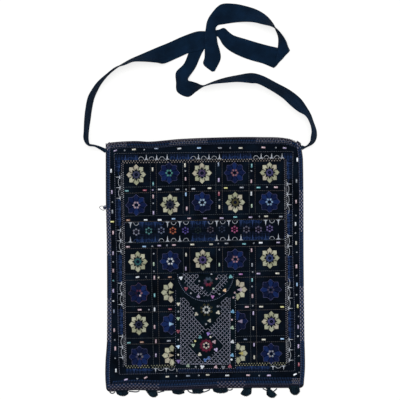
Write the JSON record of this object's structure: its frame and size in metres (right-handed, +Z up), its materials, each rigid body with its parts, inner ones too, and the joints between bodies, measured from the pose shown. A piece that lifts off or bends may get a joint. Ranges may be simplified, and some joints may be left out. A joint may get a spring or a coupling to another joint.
{
  "type": "embroidered shoulder bag",
  "caption": "Flat embroidered cloth shoulder bag lying on its back, with a flapped patch pocket, tufts along the hem and a plain strap tied in a bow.",
  "frame": {"origin": "middle of the back of the bag, on the surface that it lies on", "axes": "+X to the right of the bag as its front is seen, +Y from the hem to the mouth, +Z up out of the front"},
  "size_m": [0.3502, 0.5925, 0.0279],
  "materials": {
    "back_cloth": "plain dark navy cotton",
    "ground_cloth": "near-black navy cotton, embroidered",
    "braid": "chain-stitched dark braid",
    "pocket_cloth": "dark cotton under couched lattice",
    "strap_cloth": "plain navy cotton",
    "thread": "dark navy thread"
  },
  "bodies": {
    "root": {"back_panel": "back_cloth", "front_panel": "ground_cloth", "edge_binding": "braid", "pocket": "pocket_cloth", "pocket_flap": "pocket_cloth", "strap_left": "strap_cloth", "strap_right": "strap_cloth", "strap_bow": "strap_cloth", "tassel_1": "thread", "tassel_2": "thread", "tassel_3": "thread", "tassel_4": "thread", "tassel_5": "thread", "tassel_6": "thread", "tassel_7": "thread", "tassel_8": "thread", "side_tassel": "thread"}
  },
  "joints": []
}
